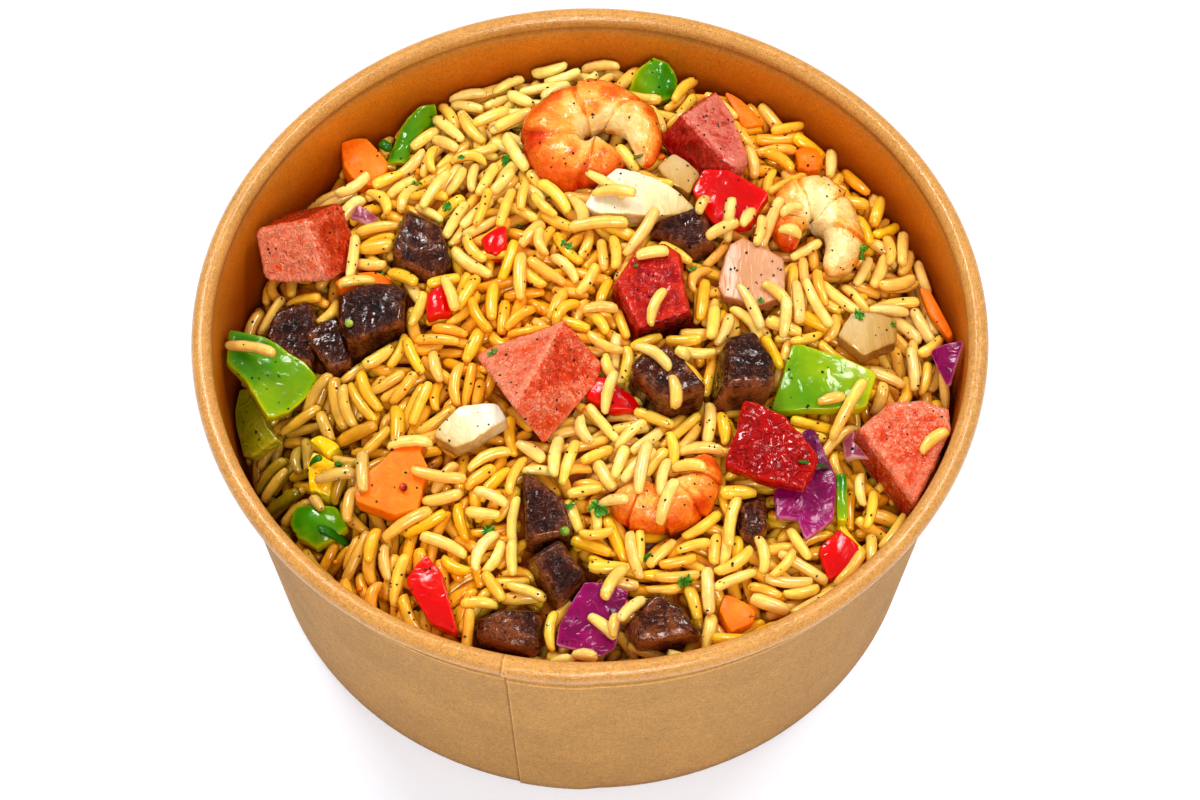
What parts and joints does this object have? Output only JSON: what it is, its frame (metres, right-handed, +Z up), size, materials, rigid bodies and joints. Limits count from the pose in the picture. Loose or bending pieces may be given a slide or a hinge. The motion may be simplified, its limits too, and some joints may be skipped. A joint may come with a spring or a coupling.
{
  "type": "fried rice in a kraft paper bowl",
  "caption": "Round kraft paper bowl with a rolled rim, filled with yellow fried rice, prawns, sausage, beef and diced vegetables.",
  "frame": {"origin": "middle of the bowl's foot, on the surface it stands on", "axes": "+Z up along the bowl's axis; the side shown to the front faces -Y; +X to its right"},
  "size_m": [0.1498, 0.1498, 0.069],
  "materials": {
    "kraft_paper": "uncoated kraft paperboard outside, grease-proof film inside",
    "rice": "cooked yellow rice grains with an oily sheen",
    "prawn": "cooked peeled prawn, cream flesh with orange back",
    "sausage": "sliced cured sausage, pink to red, moist cut faces",
    "beef": "seared beef, dark glossy crust",
    "green_pepper": "cooked green pepper, glossy skin",
    "carrot": "cooked carrot, moist",
    "yellow_pepper": "cooked yellow pepper, glossy",
    "onion": "translucent cooked onion",
    "red_pepper": "cooked red pepper, glossy skin",
    "cabbage": "red cabbage leaf, magenta-purple"
  },
  "bodies": {
    "root": {"bowl_wall": "kraft_paper", "bowl_base": "kraft_paper", "rice_heap": "rice", "red_pepper_1": "red_pepper", "red_pepper_2": "red_pepper", "red_pepper_3": "red_pepper", "red_pepper_4": "red_pepper", "red_pepper_5": "red_pepper", "red_pepper_6": "red_pepper", "carrot_1": "carrot", "carrot_2": "carrot", "carrot_3": "carrot", "carrot_4": "carrot", "carrot_5": "carrot", "carrot_6": "carrot", "carrot_7": "carrot", "cabbage_1": "cabbage", "cabbage_2": "cabbage", "cabbage_3": "cabbage", "cabbage_4": "cabbage", "cabbage_5": "cabbage", "yellow_pepper_1": "yellow_pepper", "yellow_pepper_2": "yellow_pepper", "beef_1": "beef", "beef_2": "beef", "beef_3": "beef", "beef_4": "beef", "beef_5": "beef", "beef_6": "beef", "beef_7": "beef", "beef_8": "beef", "beef_9": "beef", "beef_10": "beef", "beef_11": "beef", "beef_12": "beef", "green_pepper_1": "green_pepper", "green_pepper_2": "green_pepper", "green_pepper_3": "green_pepper", "green_pepper_4": "green_pepper", "green_pepper_5": "green_pepper", "green_pepper_6": "green_pepper", "green_pepper_7": "green_pepper", "onion_1": "onion", "onion_2": "onion", "onion_3": "onion", "onion_4": "onion", "onion_5": "onion", "prawn_back": "prawn", "prawn_right": "prawn", "prawn_front": "prawn", "red_sausage": "sausage", "sausage_back": "sausage", "sausage_left": "sausage", "sausage_right": "sausage", "sausage_middle": "sausage", "roast_pepper": "red_pepper"}
  },
  "joints": []
}
